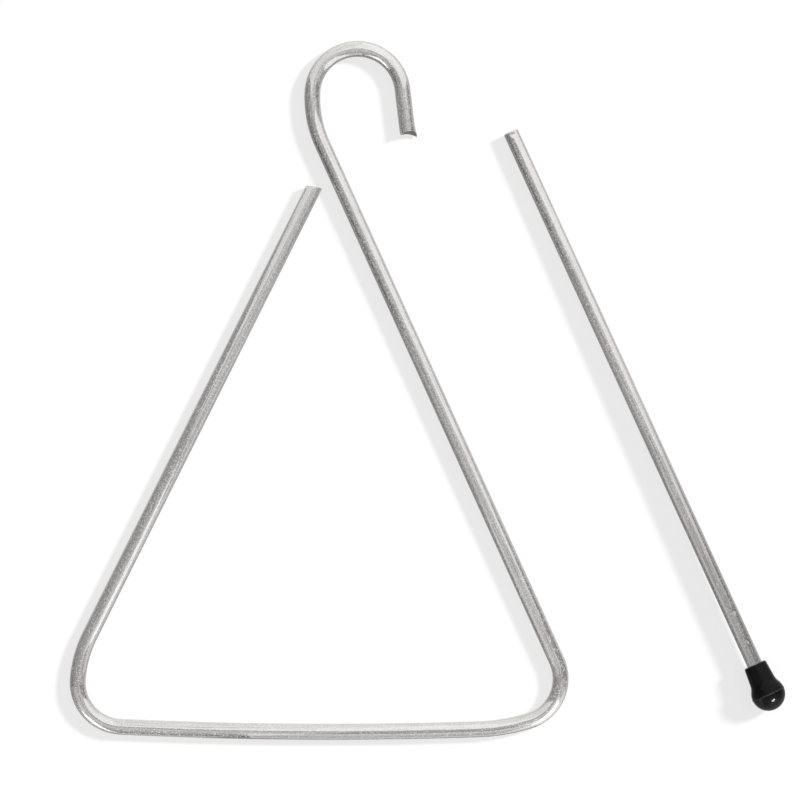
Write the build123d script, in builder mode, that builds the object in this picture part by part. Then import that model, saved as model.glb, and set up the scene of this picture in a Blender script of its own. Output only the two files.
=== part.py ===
from build123d import *
import os
from math import asin, atan2, cos, degrees, hypot, pi, radians, sin, tan

# Triangle instrument with its beater, laid flat side by side as a set.
# One round steel bar is bent at two corners. Its third corner stays open, and there
# the right leg runs on into a round hanging hook.
# The beater is a straight steel rod with a moulded rubber knob pushed on one end.
# Lengths are in millimetres and angles in degrees. Z is up, the surface that the set
# lies on is Z = 0, and the set's footprint is centred on the origin.

# Triangle: the bar that it is bent from
bar_diameter = 5.0

# Triangle: the base, bowed a little outwards, measured each way from its lowest point
base_right_length = 46.0
base_left_length = 65.0
base_bow_radius = 1390.0

# Triangle: the right corner, eased out of the base and then bent tight
right_ease_radius = 60.0
right_ease_angle = 15.5
right_bend_radius = 13.6
right_bend_angle = 97.0

# Triangle: the left corner, bent tight and then eased into the leg
left_bend_radius = 13.9
left_bend_angle = 92.2
left_ease_radius = 36.8
left_ease_angle = 21.7

# Triangle: the straight part of the right leg, and the hook that follows it
right_leg_length = 176.0
hook_ease_radius = 34.5
hook_ease_angle = 27.5
hook_radius = 14.0
hook_angle = 170.0
hook_tip_length = 14.8

# Triangle: the open corner, where the sheared end of the left leg stops short of the right leg
open_gap = 3.2
open_end_angle = 16.0
hook_tip_angle = 8.5
end_break = 0.3
trim_overrun = 0.5

# Beater: the rod
rod_diameter = 4.8
rod_length = 192.4
rod_end_break = 0.35

# Beater: the knob, a tapered collar that swells into a ball
knob_bore_depth = 11.0
knob_bore_clearance = 0.05
knob_mouth_diameter = 7.15
knob_mouth_round = 0.65
knob_collar_angle = 4.9
knob_cove_radius = 5.0
ball_diameter = 10.6
ball_from_mouth = 10.0

# Beater: where its free end lies beside the right leg, and how far its knob end leans away
beater_spacing = 54.7
beater_setback = 20.9
beater_lean_angle = 0.19

os.makedirs("parts", exist_ok=True)

bar_radius = bar_diameter / 2
rod_radius = rod_diameter / 2
ball_radius = ball_diameter / 2


def bend(previous, radius, turn):
    """Carry the bar on from the end of the previous stretch in a bend, positive to its left."""
    return JernArc(previous @ 1, previous % 1, radius, turn)


def run(previous, length):
    """Carry the bar on straight from the end of the previous stretch."""
    return Line(previous @ 1, previous @ 1 + (previous % 1) * length)


def trim_length(slant):
    """How far the bar is made too long, so that a slanting cut leaves no square end behind."""
    return bar_radius * tan(radians(slant)) + trim_overrun


# The bar's centreline, worked out both ways from the lowest point of the base.
# The left leg is as long as the open gap in front of the right leg leaves it.
with BuildLine() as layout:
    base_right = JernArc((0, 0), (1, 0), base_bow_radius, degrees(base_right_length / base_bow_radius))
    right_ease = bend(base_right, right_ease_radius, right_ease_angle)
    right_bend = bend(right_ease, right_bend_radius, right_bend_angle)
    right_leg = run(right_bend, right_leg_length)
    hook_ease = bend(right_leg, hook_ease_radius, -hook_ease_angle)
    hook = bend(hook_ease, hook_radius, -hook_angle)
    hook_tip = run(hook, hook_tip_length + trim_length(hook_tip_angle))

    base_left = JernArc((0, 0), (-1, 0), base_bow_radius, -degrees(base_left_length / base_bow_radius))
    left_bend = bend(base_left, left_bend_radius, -left_bend_angle)
    left_ease = bend(left_bend, left_ease_radius, -left_ease_angle)

    up_right_leg = right_leg % 1
    away_from_left = Vector(up_right_leg.Y, -up_right_leg.X)
    up_left_leg = left_ease % 1
    apex_sine = up_left_leg.dot(away_from_left)
    apex_cosine = up_left_leg.dot(up_right_leg)
    end_reach = bar_radius * (apex_cosine + tan(radians(open_end_angle)) * apex_sine)
    end_to_leg = open_gap + bar_radius + end_reach
    left_leg_to_right_leg = (right_leg @ 1 - left_ease @ 1).dot(away_from_left)
    left_leg_length = (left_leg_to_right_leg - end_to_leg) / apex_sine
    left_leg = run(left_ease, left_leg_length + trim_length(open_end_angle))

# The beater rests on its ball and on the lower edge of its free end, so it tilts a little
rod_exposed = rod_length - knob_bore_depth
ball_to_free_end = rod_exposed + ball_from_mouth
beater_tilt = asin(ball_radius / hypot(ball_to_free_end, rod_radius)) - atan2(rod_radius, ball_to_free_end)
free_end = right_leg @ 1 - up_right_leg * beater_setback + away_from_left * beater_spacing
up_beater = up_right_leg.rotate(Axis.Z, beater_lean_angle)
ball_centre = free_end - up_beater * (ball_to_free_end * cos(beater_tilt))

# The footprint of the whole set, and the move that centres it on the origin
bar_outline = layout.line.bounding_box()
footprint_left = bar_outline.min.X - bar_radius
footprint_right = ball_centre.X + ball_radius
footprint_front = min(bar_outline.min.Y - bar_radius, ball_centre.Y - ball_radius)
footprint_back = max(bar_outline.max.Y + bar_radius, free_end.Y + rod_radius)
to_origin = Vector(-(footprint_left + footprint_right) / 2, -(footprint_front + footprint_back) / 2)

# Triangle bar: a circle swept along the centreline, with both ends sheared at a slant
with BuildPart() as triangle_bar:
    with BuildLine() as bar_path:
        add(layout.line.moved(Location(to_origin + Vector(0, 0, bar_radius))))
    with BuildSketch(Plane(origin=bar_path.line @ 0, z_dir=bar_path.line % 0)):
        Circle(bar_radius)
    sweep()
    swept_volume = triangle_bar.part.volume

    for last_run, slant in ((left_leg, open_end_angle), (hook_tip, -hook_tip_angle)):
        spare = trim_length(abs(slant))
        heading = last_run % 1
        cut_centre = last_run @ 1 - heading * spare + to_origin + Vector(0, 0, bar_radius)
        cut_plane = Plane(origin=cut_centre, z_dir=heading.rotate(Axis.Z, slant))
        with BuildSketch(cut_plane):
            Circle(bar_radius / cos(radians(slant)) + trim_overrun)
        extrude(amount=2 * spare, mode=Mode.SUBTRACT)
    fillet(triangle_bar.faces().filter_by(GeomType.PLANE).edges(), end_break)
triangle_bar.part.label = "triangle_bar"
export_step(triangle_bar.part, "parts/triangle_bar.step")

# The beater's own frame: origin at the ball's centre, Z along the rod to its free end
beater_axis = up_beater * cos(beater_tilt) - Vector(0, 0, sin(beater_tilt))
across_beater = Vector(up_beater.Y, -up_beater.X)
ball_place = ball_centre + to_origin + Vector(0, 0, ball_radius)
beater_plane = Plane(origin=ball_place, x_dir=across_beater, z_dir=beater_axis)
along_beater = Axis(beater_plane.origin, beater_plane.z_dir)

# Beater rod: seated on the floor of the knob's bore, with the edge of its free end rounded
with BuildPart() as beater_rod:
    with BuildSketch(beater_plane.offset(ball_from_mouth - knob_bore_depth)):
        Circle(rod_radius)
    extrude(amount=rod_length)
    fillet(beater_rod.faces().sort_by(along_beater)[-1].edges(), rod_end_break)
beater_rod.part.label = "beater_rod"
export_step(beater_rod.part, "parts/beater_rod.step")

# Beater knob: half its outline turned about the rod's axis, with a blind bore for the rod
mouth_radius = knob_mouth_diameter / 2
collar_radius_at_ball = mouth_radius + ball_from_mouth * tan(radians(knob_collar_angle))
profile_plane = Plane(origin=beater_plane.origin, x_dir=beater_plane.x_dir, z_dir=-beater_plane.y_dir)
with BuildPart() as beater_knob:
    with BuildSketch(profile_plane) as knob_profile:
        with BuildLine():
            Polyline(
                (0, 0),
                (collar_radius_at_ball, 0),
                (mouth_radius, ball_from_mouth),
                (0, ball_from_mouth),
                close=True,
            )
        make_face()
        with BuildLine():
            CenterArc((0, 0), ball_radius, -90, 180)
            Line((0, ball_radius), (0, -ball_radius))
        make_face()
        collar_corners = knob_profile.vertices().filter_by(lambda v: v.X > 0).sort_by(Axis.Y)
        fillet(collar_corners[-1], knob_mouth_round)
        fillet(collar_corners[-2], knob_cove_radius)
    revolve(axis=along_beater)
    with BuildSketch(beater_plane.offset(ball_from_mouth)):
        Circle(rod_radius + knob_bore_clearance)
    extrude(amount=-knob_bore_depth, mode=Mode.SUBTRACT)
beater_knob.part.label = "beater_knob"
export_step(beater_knob.part, "parts/beater_knob.step")

# What the bending comes to
bar_length = sum(stretch.length for stretch in layout.line.edges())
print(f"bar swept over {bar_length:.2f} mm, volume {swept_volume:.2f} mm3")
print(f"section times length {pi * bar_radius ** 2 * bar_length:.2f} mm3")
print(f"left leg {left_leg_length:.2f} mm, apex angle {degrees(atan2(apex_sine, apex_cosine)):.2f} deg")
print(f"beater tilt {degrees(beater_tilt):.3f} deg")
print(f"footprint {footprint_right - footprint_left:.2f} by {footprint_back - footprint_front:.2f} mm")
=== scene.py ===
# %% [markdown]
# # A triangle and its beater
# The object is a percussion triangle, bent from one round steel bar, lying beside its straight beater.
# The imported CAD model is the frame: it is loaded once, it is never moved or changed, and every mesh
# below is made in the same place and at the same size, in metres.

# %% Load the frame
from math import atan2, copysign, cos, pi, radians, sin, sqrt, tan

import bmesh
import bpy
from mathutils import Matrix, Vector


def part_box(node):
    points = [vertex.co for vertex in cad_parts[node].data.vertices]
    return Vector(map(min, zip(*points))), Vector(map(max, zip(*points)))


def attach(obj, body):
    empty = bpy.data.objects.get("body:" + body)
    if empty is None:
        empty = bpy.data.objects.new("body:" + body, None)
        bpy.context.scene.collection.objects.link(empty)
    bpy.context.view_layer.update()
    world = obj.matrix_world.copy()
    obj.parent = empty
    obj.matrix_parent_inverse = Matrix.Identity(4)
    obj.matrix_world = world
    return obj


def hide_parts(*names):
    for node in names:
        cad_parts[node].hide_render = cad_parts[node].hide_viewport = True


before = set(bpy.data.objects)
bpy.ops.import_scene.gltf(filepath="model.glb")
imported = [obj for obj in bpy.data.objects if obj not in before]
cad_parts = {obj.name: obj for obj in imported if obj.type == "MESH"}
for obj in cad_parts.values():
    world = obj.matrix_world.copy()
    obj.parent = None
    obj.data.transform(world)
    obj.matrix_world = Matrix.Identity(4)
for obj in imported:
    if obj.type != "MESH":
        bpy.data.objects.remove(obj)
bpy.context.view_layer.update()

MM = 0.001

# %% [markdown]
# ## How the bar is shaped
# The real triangle starts as straight drawn bar, and a bender turns its corners one after the other.
# The mesh is made the same way: a ring of vertices is carried along, `spin` turns it round each bend,
# and an extrusion pushes it on through each straight run. A curve with a bevel would be shorter to
# write, but then the bar's ends could not be shaped, and no vertex would know where on the bar it lies.
# Each vertex also keeps the place it had in the straight bar, in the attribute `straight_stock`. The
# draw lines and the grain of the steel are drawn in that space, so they follow every bend.

# %% Helpers that carry a ring of vertices along the bar
RING_SIDES = 48
STEP = 0.8 * MM


def start_bar(bm, place, heading, radius, along):
    """Begin a bar with one ring of vertices, square to its heading."""
    upright = heading.to_track_quat("Z", "Y").to_matrix().to_4x4()
    at_place = Matrix.Translation(place) @ upright
    ring = bmesh.ops.create_circle(bm, segments=RING_SIDES, radius=radius, matrix=at_place)["verts"]
    stock = bm.verts.layers.float_vector["straight_stock"]
    for vert in ring:
        vert[stock] = at_place.inverted() @ vert.co + Vector((0, 0, along))
    return {"ring": ring, "place": place.copy(), "heading": heading.copy(), "along": along}


def ring_edges(ring):
    """The edges that close a ring of vertices."""
    inside = set(ring)
    return [edge for edge in {e for v in ring for e in v.link_edges} if set(edge.verts) <= inside]


def take_ring(bm, end, made, travel):
    """Make the newest vertices the bar's end, and note how far along the straight stock they lie."""
    stock = bm.verts.layers.float_vector["straight_stock"]
    end["ring"] = [item for item in made if isinstance(item, bmesh.types.BMVert)]
    end["along"] += travel
    for vert in end["ring"]:
        vert[stock].z = end["along"]


def run(bm, end, length, step=STEP):
    """Push the bar's end straight on."""
    steps = max(1, round(length / step))
    for _ in range(steps):
        made = bmesh.ops.extrude_edge_only(bm, edges=ring_edges(end["ring"]))["geom"]
        take_ring(bm, end, made, end["sense"] * length / steps)
        bmesh.ops.translate(bm, verts=end["ring"], vec=end["heading"] * (length / steps))
    end["place"] += end["heading"] * length


def bend(bm, end, radius, angle):
    """Turn the bar's end through an angle, positive to the left of its heading."""
    left = Vector((-end["heading"].y, end["heading"].x, 0)) * copysign(1, angle)
    centre = end["place"] + left * radius
    steps = max(1, round(radius * abs(angle) / STEP))
    for _ in range(steps):
        spun = bmesh.ops.spin(
            bm,
            geom=end["ring"] + ring_edges(end["ring"]),
            cent=centre,
            axis=(0, 0, copysign(1, angle)),
            angle=abs(angle) / steps,
            steps=1,
        )
        take_ring(bm, end, spun["geom_last"], end["sense"] * radius * abs(angle) / steps)
    turn = Matrix.Rotation(angle, 3, "Z")
    end["place"] = centre - turn @ (left * radius)
    end["heading"] = turn @ end["heading"]


# %% [markdown]
# ## Bending the triangle
# The bar is bent both ways from the lowest point of its base, because that is where the base, which
# bows out a little, runs level. Radii and angles are those of the CAD model. The base's bow, both
# corners and the hook are spins, and the straight runs are extrusions.

# %% Bend the bar from the middle of its base
bar_low, bar_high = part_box("triangle_bar")
bar_radius = (bar_high.z - bar_low.z) / 2
base_low_x = -30.108 * MM
base_low = Vector((base_low_x, bar_low.y + bar_radius, bar_low.z + bar_radius))

bow_radius = 1390.0 * MM
base_right_length = 46.0 * MM
base_left_length = 65.0 * MM
right_leg_length = 176.0 * MM
left_leg_length = 155.352 * MM
hook_tip_length = 14.8 * MM

right_bends = ((60.0 * MM, radians(15.5)), (13.6 * MM, radians(97.0)))
hook_bends = ((34.5 * MM, -radians(27.5)), (14.0 * MM, -radians(170.0)))
left_bends = ((13.9 * MM, -radians(92.2)), (36.8 * MM, -radians(21.7)))

bar = bmesh.new()
bar.verts.layers.float_vector.new("straight_stock")
right_end = start_bar(bar, base_low, Vector((1, 0, 0)), bar_radius, 0.0)
left_end = {**right_end, "place": base_low.copy(), "heading": Vector((-1, 0, 0)), "sense": -1}
right_end["sense"] = 1

bend(bar, right_end, bow_radius, base_right_length / bow_radius)
for radius, angle in right_bends:
    bend(bar, right_end, radius, angle)
run(bar, right_end, right_leg_length)
for radius, angle in hook_bends:
    bend(bar, right_end, radius, angle)

bend(bar, left_end, bow_radius, -base_left_length / bow_radius)
for radius, angle in left_bends:
    bend(bar, left_end, radius, angle)
print("hook ends at", [round(c / MM, 2) for c in right_end["place"]], "mm")
print("left leg starts at", [round(c / MM, 2) for c in left_end["place"]], "mm")

# %% [markdown]
# ## The two cut ends
# The left leg was sawn off at a slant, and its edge was only lightly rounded. The hook's tip was nipped
# off with cutters. Both ends are made from the last ring: it slides along the bar into the plane of the
# cut, a face closes it, a bevel rounds its edge, and insets give it vertices to shape. Cutting the bar
# with `bisect_plane` would give the same outline, but it leaves slivers that a bevel cannot round.

# %% Close the ends of the bar
CUT_FACE = 1
INSETS = 6
EDGE_STEPS = 4
ROUND_PROFILE = 0.5
open_end_slant = radians(16.0)
hook_tip_slant = radians(-8.5)
end_break = 0.3 * MM
nip_break = 0.15 * MM


def slant_ring(end, slant):
    """Slide the last ring along the bar so that it lies in the plane of a slanting cut."""
    right = Vector((end["heading"].y, -end["heading"].x, 0))
    for vert in end["ring"]:
        vert.co += end["heading"] * (tan(slant) * right.dot(vert.co - end["place"]))


def close_end(bm, ring, radius, edge_round):
    """Close a ring with a face, round its edge and inset the face. Gives the end's vertices."""
    before = set(bm.verts)
    edges = ring_edges(ring)
    bmesh.ops.contextual_create(bm, geom=ring)["faces"][0].material_index = CUT_FACE
    bmesh.ops.bevel(
        bm,
        geom=edges,
        offset=edge_round,
        segments=EDGE_STEPS,
        profile=ROUND_PROFILE,
        affect="EDGES",
        material=-1,
    )
    cap = [face for face in bm.faces if len(face.verts) == RING_SIDES and before.isdisjoint(face.verts)]
    for _ in range(INSETS):
        bmesh.ops.inset_region(bm, faces=cap, thickness=(radius - edge_round) / (INSETS + 1))
    return [vert for vert in bm.verts if vert not in before]


run(bar, left_end, left_leg_length)
slant_ring(left_end, open_end_slant)
close_end(bar, left_end["ring"], bar_radius, end_break)

# The last stretch is left long and undivided, so that squeezing the tip cannot fold the bar's side.
wedge_length = 1.5 * MM
run(bar, right_end, hook_tip_length - 2 * wedge_length)
run(bar, right_end, 2 * wedge_length, 2 * wedge_length)
slant_ring(right_end, hook_tip_slant)
tip_verts = close_end(bar, right_end["ring"], bar_radius, nip_break)
stock_length = right_end["along"] - left_end["along"]
print("bar of", len(bar.faces), "faces, straight length", round(stock_length / MM, 1), "mm")

# %% [markdown]
# ## The nipped tip of the hook
# The jaws of the cutters squeeze the bar from two sides. That leaves a blunt wedge, whose ridge is
# hollow in the middle and spreads into a corner a little wider than the bar. Every vertex of the end
# moves back by its distance from the ridge, which makes the wedge, and those near the corner move out.
# Two boolean cuts would make the wedge too, but not its hollow or its spread corner.

# %% Squeeze the hook's tip into a wedge
jaw_tilt = radians(-32)
wedge_hollow = 0.5 * MM
corner_flare = 0.65 * MM
corner_drop = 0.4 * MM

tip_right = Vector((right_end["heading"].y, -right_end["heading"].x, 0))
jaw_way = tip_right * sin(jaw_tilt) + Vector((0, 0, cos(jaw_tilt)))
ridge_way = jaw_way.cross(right_end["heading"])
for vert in tip_verts:
    off_ridge = abs(jaw_way.dot(vert.co - right_end["place"])) / bar_radius
    along_ridge = ridge_way.dot(vert.co - right_end["place"]) / bar_radius
    hollow = wedge_hollow * max(0, 1 - along_ridge**2) * (1 - off_ridge)
    vert.co -= right_end["heading"] * (wedge_length * off_ridge + hollow)
    corner = max(0, along_ridge) ** 2 * (1 - off_ridge)
    vert.co += ridge_way * (corner_flare * corner) + right_end["heading"] * (corner_drop * corner)
print("wedge shaped with", len(tip_verts), "vertices")

# %% [markdown]
# ## Nicks and dents
# Steel that has been struck and dropped shows small dents. Each one is a place on the bar and a size.
# The mesh there is divided finely, and the vertices within reach move inwards with a soft edge, so it is
# real shape that catches the light from every side. A bump map could draw dents too, but they would be
# missing from the mesh.

# %% Press dents into a bar
DENT_CUTS = 3
DENT_MARGIN = 1.6


def press_dent(bm, place, inwards, radius, depth):
    """Divide the surface finely around a place and push it inwards there."""
    wide = DENT_MARGIN * radius
    near = [e for e in bm.edges if all((v.co - place).length < wide for v in e.verts)]
    bmesh.ops.subdivide_edges(bm, edges=near, cuts=DENT_CUTS, use_grid_fill=True)
    for vert in bm.verts:
        reach = (vert.co - place).length / radius
        if reach < 1:
            vert.co += inwards * depth * (1 - reach * reach) ** 2
    print("dent of", round(radius / MM, 2), "mm pressed into", len(near), "divided edges")


def turn_into_object(bm, name):
    """Tidy a finished mesh and put it in the scene as a smooth object."""
    bmesh.ops.recalc_face_normals(bm, faces=bm.faces)
    for face in bm.faces:
        face.smooth = True
    mesh = bpy.data.meshes.new(name)
    bm.to_mesh(mesh)
    bm.free()
    made = bpy.data.objects.new(name, mesh)
    bpy.context.scene.collection.objects.link(made)
    return made


nick_place = Vector((42.4 * MM, -86.1 * MM, 4.6 * MM))
nick_inwards = Vector((-0.5, 0.0, -0.87))
nick_radius = 0.9 * MM
nick_depth = 0.15 * MM
press_dent(bar, nick_place, nick_inwards, nick_radius, nick_depth)
triangle = turn_into_object(bar, "bent_triangle")

# %% [markdown]
# ## The beater's rod
# The rod is a length of the same kind of bar, a little thinner, with its free end cut square. It
# rests on the knob's ball at one end and on its free end at the other, so it tilts by less than a
# degree. It is pushed out of a ring in the same way as the triangle, from the floor of the knob's
# bore. Its stock is counted from a metre on, so that its pattern is not a copy of the triangle's.

# %% Place the beater and draw out its rod
rod_radius = 2.4 * MM
rod_length = 192.4 * MM
rod_end_break = 0.35 * MM
ball_radius = 5.3 * MM
mouth_height = 10.0 * MM
bore_depth = 11.0 * MM
stock_cut_from = 1.0

ball_centre = Vector((105.534 * MM, -93.971 * MM, ball_radius))
free_end = Vector((25.910 * MM, 80.056 * MM, 2.400 * MM))
beater_axis = (free_end - ball_centre).normalized()
rod_foot = ball_centre + beater_axis * (mouth_height - bore_depth)

rod = bmesh.new()
rod.verts.layers.float_vector.new("straight_stock")
rod_end = start_bar(rod, rod_foot, beater_axis, rod_radius, stock_cut_from)
rod_end["sense"] = 1
seated_ring = rod_end["ring"]
run(rod, rod_end, rod_length)
close_end(rod, seated_ring, rod_radius, rod_end_break)
close_end(rod, rod_end["ring"], rod_radius, rod_end_break)
print("rod of", len(rod.faces), "faces")

# %% [markdown]
# ## Marks on the rod
# The rod's free end is pinched at its rim, and two faint marks near the knob show where it has struck
# or been gripped. They are pressed in as the triangle's nick is. Each mark is given by its distance
# from the ball's centre and by how far it leans from the top of the rod.

# %% Mark the rod
pinch_radius = 1.1 * MM
pinch_depth = 0.22 * MM
pinch_aside = 0.3 * MM
mark_radius = 1.3 * MM
mark_depth = 0.03 * MM
marks = ((17.9 * MM, radians(30)), (27.8 * MM, radians(18)))

beside_rod = Vector((beater_axis.y, -beater_axis.x, 0)).normalized()
above_rod = beside_rod.cross(beater_axis)
pinch_middle = free_end - beater_axis * pinch_radius + beside_rod * pinch_aside
press_dent(rod, pinch_middle + above_rod * rod_radius, -above_rod, pinch_radius, pinch_depth)
for along, lean in marks:
    outwards = beside_rod * sin(lean) + above_rod * cos(lean)
    mark_place = ball_centre + beater_axis * along + outwards * rod_radius
    press_dent(rod, mark_place, -outwards, mark_radius, mark_depth)
beater_rod = turn_into_object(rod, "drawn_rod")

# %% [markdown]
# ## The beater's knob
# The knob is a moulded rubber cap, round about the rod: a tapered collar, a hollow neck and a ball. Half
# its outline is drawn with a single vertex. Extruding the vertex draws a straight line, and spinning it
# about the centre of an arc draws the arc. The fine raised line round the ball is where the two halves
# of the mould met. A ball joined to a cone would leave a sharp crease where the neck should be hollow.

# %% Draw half the knob's outline
mouth_radius = 3.575 * MM
mouth_round = 0.65 * MM
collar_taper = radians(4.9)
cove_radius = 5.0 * MM
bore_clearance = 0.05 * MM
bore_radius = rod_radius + bore_clearance
line_height = 0.1 * MM
line_half_angle = radians(2.2)
ARC_STEPS = 12

knob = bmesh.new()
outline = {"tip": knob.verts.new((0, 0, mouth_height - bore_depth))}


def draw_line(x, z):
    """Draw the outline straight on to a point of the half section."""
    drawn = bmesh.ops.extrude_vert_indiv(knob, verts=[outline["tip"]])["verts"][0]
    drawn.co = (x, 0, z)
    outline["tip"] = drawn


def draw_arc(x, z, angle, steps=ARC_STEPS):
    """Draw the outline on round a centre, a positive angle turning from X towards Z."""
    spun = bmesh.ops.spin(
        knob,
        geom=[outline["tip"]],
        cent=(x, 0, z),
        axis=(0, -copysign(1, angle), 0),
        angle=abs(angle),
        steps=steps,
    )
    outline["tip"] = next(item for item in spun["geom_last"] if isinstance(item, bmesh.types.BMVert))


# The neck's arc has to touch the collar's slanting side and the ball at once. That gives a square
# equation for the height of the arc's centre.
side_slope = tan(collar_taper)
round_x = mouth_radius + mouth_round * side_slope - mouth_round / cos(collar_taper)
cove_reach = mouth_radius + mouth_height * side_slope + cove_radius / cos(collar_taper)
centres_apart = ball_radius + cove_radius
square_term = 1 + side_slope**2
root = sqrt((cove_reach * side_slope) ** 2 - square_term * (cove_reach**2 - centres_apart**2))
cove_z = (cove_reach * side_slope + root) / square_term
cove_x = cove_reach - side_slope * cove_z
neck_angle = atan2(cove_z, cove_x)

draw_line(bore_radius, mouth_height - bore_depth)
draw_line(bore_radius, mouth_height)
draw_line(round_x, mouth_height)
draw_arc(round_x, mouth_height - mouth_round, collar_taper - radians(90))
draw_line(cove_x - cove_radius * cos(collar_taper), cove_z - cove_radius * sin(collar_taper))
draw_arc(cove_x, cove_z, neck_angle - collar_taper)
draw_arc(0, 0, line_half_angle - neck_angle)
draw_line(ball_radius + line_height, 0)
draw_line(ball_radius * cos(line_half_angle), -ball_radius * sin(line_half_angle))
draw_arc(0, 0, line_half_angle - radians(90), 3 * ARC_STEPS)
print("outline of", len(knob.edges), "lines, neck", round(cove_z / MM, 2), "mm from the ball's centre")

# %% [markdown]
# ## Turning the knob
# One full spin turns the outline into the solid, bore included, and vertices that fall together on the
# axis are merged. The faces of the raised line are marked, so that they can have a finish of their own.
# The knob is turned upright, where its outline is easy to write, and then laid along the rod.

# %% Turn the outline into the knob
TURN_STEPS = 72
TRIMMED_FACE = 1
merge_distance = 0.001 * MM

bmesh.ops.spin(
    knob,
    geom=knob.verts[:] + knob.edges[:],
    cent=(0, 0, 0),
    axis=(0, 0, 1),
    angle=radians(360),
    steps=TURN_STEPS,
    use_merge=True,
)
bmesh.ops.remove_doubles(knob, verts=knob.verts, dist=merge_distance)
for face in knob.faces:
    middle = face.calc_center_median()
    on_line = abs(middle.z) < ball_radius * sin(line_half_angle)
    if on_line and middle.xy.length > ball_radius * cos(line_half_angle):
        face.material_index = TRIMMED_FACE

laid_along = beater_axis.to_track_quat("Z", "Y").to_matrix().to_4x4()
on_beater = Matrix.Translation(ball_centre) @ laid_along
bmesh.ops.transform(knob, matrix=on_beater, verts=knob.verts)
print("knob of", len(knob.faces), "faces")
beater_knob = turn_into_object(knob, "moulded_knob")

# %% [markdown]
# ## Tools for the finishes
# Colours are written as they look on a screen, in hex, and turned into the linear light that a
# renderer works in. One function adds any node, with its own settings and with its sockets either
# set or linked.

# %% Colour and node helpers
def linear(hex_colour):
    """A hex colour as linear red, green, blue and alpha."""
    parts = [int(hex_colour[i : i + 2], 16) / 255 for i in (1, 3, 5)]
    return (*[p / 12.92 if p <= 0.04045 else ((p + 0.055) / 1.055) ** 2.4 for p in parts], 1.0)


def add_node(tree, kind, sockets=None, **settings):
    """Add a node with its settings. Each socket gets a value, or a link where an output is given."""
    made = tree.nodes.new(kind)
    for name, value in settings.items():
        setattr(made, name, value)
    for name, value in (sockets or {}).items():
        if isinstance(value, bpy.types.NodeSocket):
            tree.links.new(value, made.inputs[name])
        else:
            made.inputs[name].default_value = value
    return made


def new_finish(name):
    """An empty material and its node tree."""
    material = bpy.data.materials.new(name)
    material.use_nodes = True
    material.node_tree.nodes.clear()
    return material, material.node_tree


# %% [markdown]
# ## Zinc plated drawn steel: the patterns
# The bar was drawn through a die, which leaves faint lines along it, and then plated with zinc, which
# grows in fine grains and dulls in patches. All three patterns are noise, read from the straight bar's
# own space so that they follow the bends. Real grains and lines are finer than the picture can show,
# so both are drawn coarser than real. A wrapped picture of steel would show a seam.

# %% Patterns in the steel
grain_size = 0.42 * MM
line_width = 0.35 * MM
line_length = 14.0 * MM
stain_size = 7.0 * MM

plated_steel, tree = new_finish("zinc_plated_drawn_steel")
stock = add_node(tree, "ShaderNodeAttribute", attribute_name="straight_stock").outputs["Vector"]
line_scale = (1 / line_width, 1 / line_width, 1 / line_length)
stretched = add_node(tree, "ShaderNodeMapping", {"Vector": stock, "Scale": line_scale}).outputs["Vector"]
grain = add_node(
    tree, "ShaderNodeTexNoise", {"Vector": stock, "Scale": 1 / grain_size, "Detail": 1.0}
).outputs["Fac"]
lines = add_node(
    tree, "ShaderNodeTexNoise", {"Vector": stretched, "Scale": 1.0, "Detail": 1.0}
).outputs["Fac"]
stains = add_node(
    tree, "ShaderNodeTexNoise", {"Vector": stock, "Scale": 1 / stain_size, "Detail": 3.0}
).outputs["Fac"]
print("grains of", round(grain_size / MM, 2), "mm and lines", round(line_width / MM, 2), "mm wide")

# %% [markdown]
# ## Zinc plated drawn steel: relief and shine
# Bright plating is nearly a mirror, so the eye sees the room in it as light and dark bands along the
# bar. Scattered grains stand up and break the bands into speckle, and the draw lines do so much less.
# The relief is deeper than real, because the grains are wider. Stained patches are a little rougher.

# %% Relief and shine of the steel
grain_depth = 0.04 * MM
line_share = 0.1
polished_roughness = 0.02
stained_roughness = 0.05

standing_grains = add_node(
    tree,
    "ShaderNodeMapRange",
    {"Value": grain, "From Min": 0.58, "From Max": 0.7},
    interpolation_type="SMOOTHSTEP",
).outputs["Result"]
relief = add_node(
    tree, "ShaderNodeMath", {0: lines, 1: line_share, 2: standing_grains}, operation="MULTIPLY_ADD"
).outputs["Value"]
bump = add_node(tree, "ShaderNodeBump", {"Height": relief, "Distance": grain_depth}).outputs["Normal"]
roughness = {"To Min": polished_roughness, "To Max": stained_roughness}
shine = add_node(
    tree, "ShaderNodeMapRange", {"Value": stains, "From Min": 0.3, "From Max": 0.7, **roughness}
).outputs["Result"]
print("grains", round(grain_depth / MM, 3), "mm deep")

# %% [markdown]
# ## Zinc plated drawn steel: colour
# Clean zinc is a pale grey, a little warmer and darker where it has dulled. Grime in the deepest draw
# lines shows as thin grey streaks.

# %% Colour of the steel
grime_strength = 0.3

# The Mix node has sockets of the same name for each kind of value, so its colours go by number.
FIRST_COLOUR = 6
SECOND_COLOUR = 7
MIXED_COLOUR = 2

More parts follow.
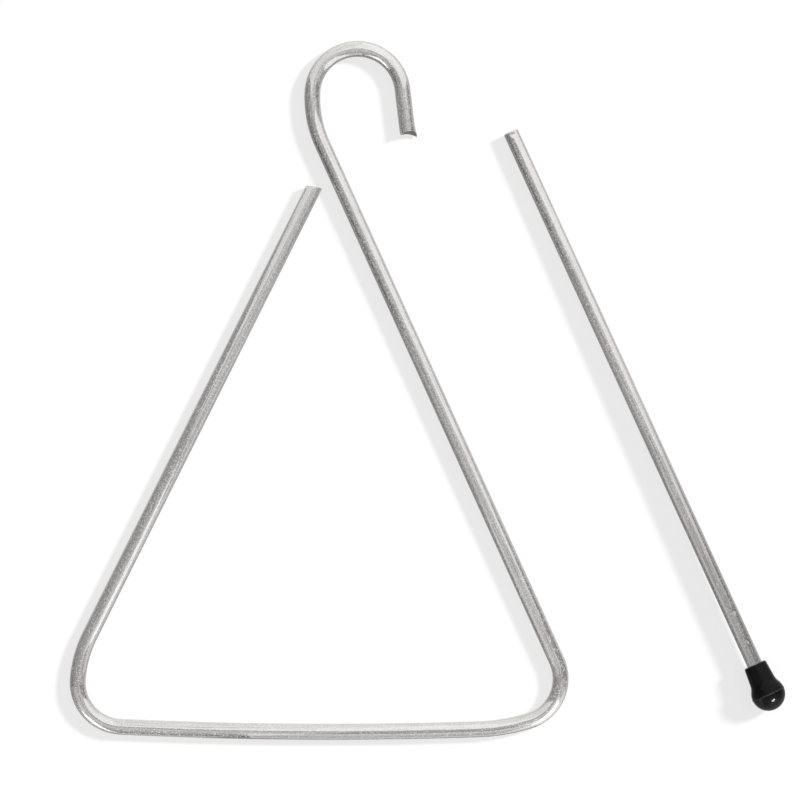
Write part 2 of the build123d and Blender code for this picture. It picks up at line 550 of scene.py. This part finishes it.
speck = add_node(
    tree, "ShaderNodeMapRange", {"Value": grain, "From Min": 0.32, "From Max": 0.68}
).outputs["Result"]
fresh = add_node(
    tree,
    "ShaderNodeMix",
    {"Factor": speck, FIRST_COLOUR: linear("#d0cfcd"), SECOND_COLOUR: linear("#e5e4e3")},
    data_type="RGBA",
).outputs[MIXED_COLOUR]
dulled = add_node(
    tree,
    "ShaderNodeMix",
    {"Factor": speck, FIRST_COLOUR: linear("#c8c5c2"), SECOND_COLOUR: linear("#dddbd8")},
    data_type="RGBA",
).outputs[MIXED_COLOUR]
clean = add_node(
    tree,
    "ShaderNodeMix",
    {"Factor": stains, FIRST_COLOUR: fresh, SECOND_COLOUR: dulled},
    data_type="RGBA",
).outputs[MIXED_COLOUR]
grime = add_node(
    tree,
    "ShaderNodeMapRange",
    {"Value": lines, "From Min": 0.42, "From Max": 0.30, "To Min": 0.0, "To Max": grime_strength},
).outputs["Result"]
streaked = add_node(
    tree,
    "ShaderNodeMix",
    {"Factor": grime, FIRST_COLOUR: clean, SECOND_COLOUR: linear("#8a8682")},
    data_type="RGBA",
).outputs[MIXED_COLOUR]
print("clean zinc with grime in its lines, up to", grime_strength)

# %% [markdown]
# ## Zinc plated drawn steel: painted shade and grime beside the knob
# The beater is painted darkest beside the knob, partly as painted shade from the knob and partly as
# grime where fingers hold it. That fade is measured along the rod's own stock, which starts a metre on
# from the triangle's, so it leaves the triangle alone.

# %% Painted shade and grime beside the knob, and the finished steel
knob_shade_and_grime_strength = 0.4
knob_shade_and_grime_length = 90.0 * MM

along = add_node(tree, "ShaderNodeSeparateXYZ", {"Vector": stock}).outputs["Z"]
from_mouth = add_node(
    tree, "ShaderNodeMath", {0: along, 1: stock_cut_from + bore_depth}, operation="SUBTRACT"
).outputs["Value"]
off_mouth = add_node(tree, "ShaderNodeMath", {0: from_mouth}, operation="ABSOLUTE").outputs["Value"]
fade = {"From Min": 0.0, "From Max": knob_shade_and_grime_length, "To Min": knob_shade_and_grime_strength, "To Max": 0.0}
knob_shade_and_grime = add_node(tree, "ShaderNodeMapRange", {"Value": off_mouth, **fade}).outputs["Result"]
# Painted shade from the knob, with grime: the rod's colour is mixed towards dark grey near the knob's
# mouth.
tint = add_node(
    tree,
    "ShaderNodeMix",
    {"Factor": knob_shade_and_grime, FIRST_COLOUR: streaked, SECOND_COLOUR: linear("#6f6a66")},
    data_type="RGBA",
).outputs[MIXED_COLOUR]
steel = add_node(
    tree,
    "ShaderNodeBsdfPrincipled",
    {"Base Color": tint, "Metallic": 1.0, "Roughness": shine, "Normal": bump},
)
add_node(tree, "ShaderNodeOutputMaterial", {"Surface": steel.outputs["BSDF"]})
print("made", plated_steel.name, "with", len(tree.nodes), "nodes")

# %% [markdown]
# ## Bare steel at the cuts
# A cut goes through the plating to the steel itself. It is darker and duller than the zinc, and the
# blade leaves fine ridges across it.

# %% Sheared bare steel
ridge_spacing = 0.798 * MM
ridge_depth = 0.02 * MM

# Diagonal bands turn through ten radians for each unit of x + y + z.
BAND_TURN = 10.0
ridge_scale = 2 * pi / (BAND_TURN * sqrt(3) * ridge_spacing)

bare_steel, tree = new_finish("sheared_bare_steel")
place = add_node(tree, "ShaderNodeTexCoord").outputs["Object"]
ridges = add_node(
    tree,
    "ShaderNodeTexWave",
    {"Vector": place, "Scale": ridge_scale, "Distortion": 3.0, "Detail": 2.0},
    bands_direction="DIAGONAL",
).outputs["Fac"]
bump = add_node(tree, "ShaderNodeBump", {"Height": ridges, "Distance": ridge_depth}).outputs["Normal"]
shade = add_node(
    tree,
    "ShaderNodeMix",
    {"Factor": ridges, FIRST_COLOUR: linear("#8f8a86"), SECOND_COLOUR: linear("#aaa6a2")},
    data_type="RGBA",
).outputs[MIXED_COLOUR]
steel = add_node(
    tree,
    "ShaderNodeBsdfPrincipled",
    {"Base Color": shade, "Metallic": 1.0, "Roughness": 0.38, "Normal": bump},
)
add_node(tree, "ShaderNodeOutputMaterial", {"Surface": steel.outputs["BSDF"]})
print("made", bare_steel.name, "with ridges", round(ridge_spacing / MM, 2), "mm apart")

# %% [markdown]
# ## Moulded black rubber
# The knob came glossy out of a polished mould. The eye sees a deep black with one small sharp
# highlight, a paler sheen on its sides, and a slight waviness where handling has dulled it.

# %% Moulded black rubber
wave_size = 2.5 * MM
wave_depth = 0.03 * MM
dust_size = 0.5 * MM

black_rubber, tree = new_finish("glossy_moulded_rubber")
place = add_node(tree, "ShaderNodeTexCoord").outputs["Object"]
waves = add_node(
    tree, "ShaderNodeTexNoise", {"Vector": place, "Scale": 1 / wave_size, "Detail": 2.0}
).outputs["Fac"]
dust = add_node(
    tree, "ShaderNodeTexNoise", {"Vector": place, "Scale": 1 / dust_size, "Detail": 3.0}
).outputs["Fac"]
bump = add_node(tree, "ShaderNodeBump", {"Height": waves, "Distance": wave_depth}).outputs["Normal"]
shine = add_node(
    tree,
    "ShaderNodeMapRange",
    {"Value": dust, "From Min": 0.35, "From Max": 0.75, "To Min": 0.1, "To Max": 0.2},
).outputs["Result"]
shade = add_node(
    tree,
    "ShaderNodeMix",
    {"Factor": dust, FIRST_COLOUR: linear("#040404"), SECOND_COLOUR: linear("#090808")},
    data_type="RGBA",
).outputs[MIXED_COLOUR]
rubber = add_node(
    tree,
    "ShaderNodeBsdfPrincipled",
    {"Base Color": shade, "Roughness": shine, "IOR": 1.5, "Specular IOR Level": 0.11, "Normal": bump},
)
add_node(tree, "ShaderNodeOutputMaterial", {"Surface": rubber.outputs["BSDF"]})
print("made", black_rubber.name)

# %% [markdown]
# ## Trimmed rubber
# Rubber that squeezed out between the halves of the mould was trimmed off, and the cut is matt. The
# eye sees a thin line round the ball, hardly paler than the gloss beside it.

# %% Trimmed rubber
trimmed_rubber, tree = new_finish("trimmed_rubber_line")
place = add_node(tree, "ShaderNodeTexCoord").outputs["Object"]
crumbs = add_node(
    tree, "ShaderNodeTexNoise", {"Vector": place, "Scale": 1 / dust_size, "Detail": 2.0}
).outputs["Fac"]
shade = add_node(
    tree,
    "ShaderNodeMix",
    {"Factor": crumbs, FIRST_COLOUR: linear("#090808"), SECOND_COLOUR: linear("#1b1a1a")},
    data_type="RGBA",
).outputs[MIXED_COLOUR]
rubber = add_node(
    tree,
    "ShaderNodeBsdfPrincipled",
    {"Base Color": shade, "Roughness": 0.5, "IOR": 1.5, "Specular IOR Level": 0.2},
)
add_node(tree, "ShaderNodeOutputMaterial", {"Surface": rubber.outputs["BSDF"]})
print("made", trimmed_rubber.name)

# %% [markdown]
# ## Putting the pieces on the frame
# Each piece takes the place of one CAD node and rides on that node's body.
# The second finish of each goes to the faces that were marked as cut or trimmed.

# %% Finish the pieces and tie them to the frame
for piece, finishes, node, body, slot in (
    (triangle, (plated_steel, bare_steel), "triangle_bar", "triangle", "plated_steel"),
    (beater_rod, (plated_steel, bare_steel), "beater_rod", "beater", "plated_steel"),
    (beater_knob, (black_rubber, trimmed_rubber), "beater_knob", "beater", "black_rubber"),
):
    for finish in finishes:
        piece.data.materials.append(finish)
    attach(piece, body)
    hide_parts(node)
    print(piece.name, "replaces", node, "and rides on", body)

# %% [markdown]
# ## The floor
# The set lies on a plain white board that glows a little, as a light table does, so that it shows as
# pure white with only a pale shadow. It is wide enough that no edge shows from the side. It is kept
# out of reflections: the floor of the room, further down, stands in for it there.

# %% White board
BOARD_SIDE = 8.0
board_glow = 0.72

board_mesh = bmesh.new()
bmesh.ops.create_grid(board_mesh, x_segments=1, y_segments=1, size=BOARD_SIDE / 2)
board = turn_into_object(board_mesh, "white_board")
board_paint, tree = new_finish("lit_white_acrylic")
glow = {"Emission Color": linear("#ffffff"), "Emission Strength": board_glow}
paint = add_node(
    tree, "ShaderNodeBsdfPrincipled", {"Base Color": linear("#808080"), "Roughness": 0.7, **glow}
)
add_node(tree, "ShaderNodeOutputMaterial", {"Surface": paint.outputs["BSDF"]})
board.data.materials.append(board_paint)
board.visible_glossy = False
print("board of", BOARD_SIDE, "m")

# %% [markdown]
# ## The soft boxes
# A polished bar shows the lamps themselves, drawn out into bright bands, so it matters where each one
# stands and how large it is. A wide window behind gives the broad band along the side that faces it.
# Two large lamps far off in front light the lower sides, and a sheet, a low strip and two panels fill
# in between. All of them shine on the pieces alone, which keeps the board even. A small bulb gives the
# knob its highlight, and it shines on the knob alone, so that the steel doesn't sparkle.

# %% Soft boxes
def lit_group(name, members):
    """A collection of the pieces that a lamp shines on."""
    group = bpy.data.collections.new(name)
    for member in members:
        group.objects.link(member)
    return group


def soft_box(name, place, aim, width, height, brightness, shines_on):
    """A rectangular lamp whose face has the given brightness, where 1 shows as white."""
    lamp = bpy.data.lights.new(name, "AREA")
    lamp.shape = "RECTANGLE"
    lamp.size = width
    lamp.size_y = height
    lamp.energy = brightness * pi * width * height
    made = bpy.data.objects.new(name, lamp)
    made.location = place
    made.rotation_euler = (Vector(aim) - Vector(place)).to_track_quat("-Z", "Y").to_euler()
    made.visible_camera = False
    made.light_linking.receiver_collection = shines_on
    bpy.context.scene.collection.objects.link(made)
    return made


whole_set = lit_group("lit_by_soft_boxes", (triangle, beater_rod, beater_knob))
knob_alone = lit_group("lit_by_bulb", (beater_knob,))
soft_box("window_behind", (0.31, 0.30, 0.67), (0.36, -0.19, 0.62), 1.60, 1.45, 0.54, whole_set)
soft_box("window_side", (0.12, 0.11, 0.53), (-0.09, -0.30, 0.34), 0.44, 1.17, 0.22, whole_set)
soft_box("wall_front_right", (1.32, -1.17, 0.55), (1.54, -0.78, 0.31), 2.35, 1.30, 0.78, whole_set)
soft_box("lamp_front_left", (-1.70, -1.55, 0.25), (-1.88, -1.24, -0.09), 3.15, 0.79, 1.46, whole_set)
soft_box("sheet_in_front", (0.32, -0.175, 1.04), (0.30, 0.325, 1.08), 1.34, 2.10, 0.24, whole_set)
soft_box("low_strip_in_front", (0.17, -0.195, 0.03), (0.15, 0.30, -0.04), 0.46, 0.20, 0.46, whole_set)
soft_box("panel_left", (-0.53, -0.36, 0.35), (-0.53, 0.14, 0.33), 0.22, 0.52, 0.32, whole_set)
soft_box(
    "front_right_bulb", (0.265, -0.298, 0.200), (0.105, -0.094, 0.005), 0.11, 0.06, 90.0, knob_alone
)

# %% [markdown]
# ## The sun
# A low sun from the back right throws the pale shadow, and its wide disc softens the shadow's edge. It
# is kept out of reflections, because the soft boxes make those.

# %% Low sun
sun_azimuth = radians(26.6)
sun_height = radians(36)

sun = bpy.data.lights.new("low_sun", "SUN")
sun.energy = 5.0
sun.angle = radians(9)
sun_object = bpy.data.objects.new("low_sun", sun)
sun_x = cos(sun_height) * cos(sun_azimuth)
sun_y = cos(sun_height) * sin(sun_azimuth)
towards_sun = Vector((sun_x, sun_y, sin(sun_height)))
sun_object.rotation_euler = (-towards_sun).to_track_quat("-Z", "Y").to_euler()
sun_object.visible_glossy = False
bpy.context.scene.collection.objects.link(sun_object)
print("sun stands towards", [round(part, 2) for part in towards_sun])

# %% [markdown]
# ## The room
# Between the lamps the bars show the room. A plain grey room would leave their bands too even, so here
# the walls and the pale floor grow brighter towards the window, and the ceiling is even. Some clutter
# breaks it up, as things that stand about would.

# %% Walls, ceiling and floor of the room
wall_brightness = 0.23
wall_towards_window = 0.33
darkest_wall = 0.05
ceiling_brightness = 0.50
floor_brightness = 0.44
floor_towards_right = 0.14
floor_towards_window = 0.49
below_brightness = 0.38
below_towards_window = 0.80
horizon_sharpness = 8.0
clutter_scale = 9.0
clutter_strength = 0.07

room = bpy.data.worlds.new("dim_room")
room.use_nodes = True
tree = room.node_tree
way = add_node(tree, "ShaderNodeTexCoord").outputs["Generated"]
across, back, up = add_node(tree, "ShaderNodeSeparateXYZ", {"Vector": way}).outputs

wall_light = add_node(
    tree,
    "ShaderNodeMath",
    {0: back, 1: wall_towards_window, 2: wall_brightness},
    operation="MULTIPLY_ADD",
).outputs["Value"]
walls = add_node(
    tree, "ShaderNodeMath", {0: wall_light, 1: darkest_wall}, operation="MAXIMUM"
).outputs["Value"]
rise = {"Factor": up, "A": walls, "B": ceiling_brightness}
ceiling = add_node(tree, "ShaderNodeMix", rise).outputs["Result"]

behind = add_node(tree, "ShaderNodeMath", {0: back, 1: 0.0}, operation="MAXIMUM").outputs["Value"]
behind_square = add_node(
    tree, "ShaderNodeMath", {0: behind, 1: behind}, operation="MULTIPLY"
).outputs["Value"]
floor_side = add_node(
    tree,
    "ShaderNodeMath",
    {0: across, 1: floor_towards_right, 2: floor_brightness},
    operation="MULTIPLY_ADD",
).outputs["Value"]
floor_round = add_node(
    tree,
    "ShaderNodeMath",
    {0: behind_square, 1: floor_towards_window, 2: floor_side},
    operation="MULTIPLY_ADD",
).outputs["Value"]
below_light = add_node(
    tree,
    "ShaderNodeMath",
    {0: back, 1: below_towards_window, 2: below_brightness},
    operation="MULTIPLY_ADD",
).outputs["Value"]
up_square = add_node(tree, "ShaderNodeMath", {0: up, 1: up}, operation="MULTIPLY").outputs["Value"]
floor = add_node(
    tree,
    "ShaderNodeMath",
    {0: below_light, 1: up_square, 2: floor_round},
    operation="MULTIPLY_ADD",
).outputs["Value"]
print("walls of", wall_brightness, "and a ceiling of", ceiling_brightness)

# %% [markdown]
# ## Joining the room
# The ceiling and the floor meet at a soft horizon, below which the floor soon takes over. The clutter
# is added to both. Were it multiplied instead, the dark walls would stay plain. The sum is the strength
# of the world's own light.

# %% Join the room and hang it round the set
depth = add_node(
    tree, "ShaderNodeMath", {0: up, 1: -horizon_sharpness}, operation="MULTIPLY", use_clamp=True
).outputs["Value"]
plain = add_node(tree, "ShaderNodeMix", {"Factor": depth, "A": ceiling, "B": floor}).outputs["Result"]
things = add_node(
    tree, "ShaderNodeTexNoise", {"Vector": way, "Scale": clutter_scale, "Detail": 2.0}
).outputs["Fac"]
swing = {"To Min": -clutter_strength, "To Max": clutter_strength}
clutter = add_node(
    tree, "ShaderNodeMapRange", {"Value": things, "From Min": 0.3, "From Max": 0.7, **swing}
).outputs["Result"]
brightness = add_node(
    tree, "ShaderNodeMath", {0: plain, 1: clutter}, operation="ADD", use_clamp=True
).outputs["Value"]
background = tree.nodes["Background"]
tree.links.new(brightness, background.inputs["Strength"])
background.inputs["Color"].default_value = linear("#ffffff")
bpy.context.scene.world = room
print("room of", len(tree.nodes), "nodes")

# %% [markdown]
# ## The camera
# The picture was taken from straight above. The camera looks down on the middle of the photograph's
# frame through a long lens, so that the bars are seen without perspective, and +Y is up in the picture.

# %% Camera straight above the set
PICTURE_PIXELS = 800
PIXEL = 0.31 * MM
picture_middle = Vector((-8.408 * MM, -3.030 * MM, bar_radius))
camera = bpy.data.cameras.new("camera_above")
camera.lens = 250.0
camera_height = PICTURE_PIXELS * PIXEL * camera.lens / camera.sensor_width
camera_object = bpy.data.objects.new("camera_above", camera)
camera_object.location = picture_middle + Vector((0, 0, camera_height))
bpy.context.scene.collection.objects.link(camera_object)
bpy.context.scene.camera = camera_object
bpy.context.scene.view_settings.view_transform = "Standard"
print("camera", round(camera_height / MM, 1), "mm above the bars")
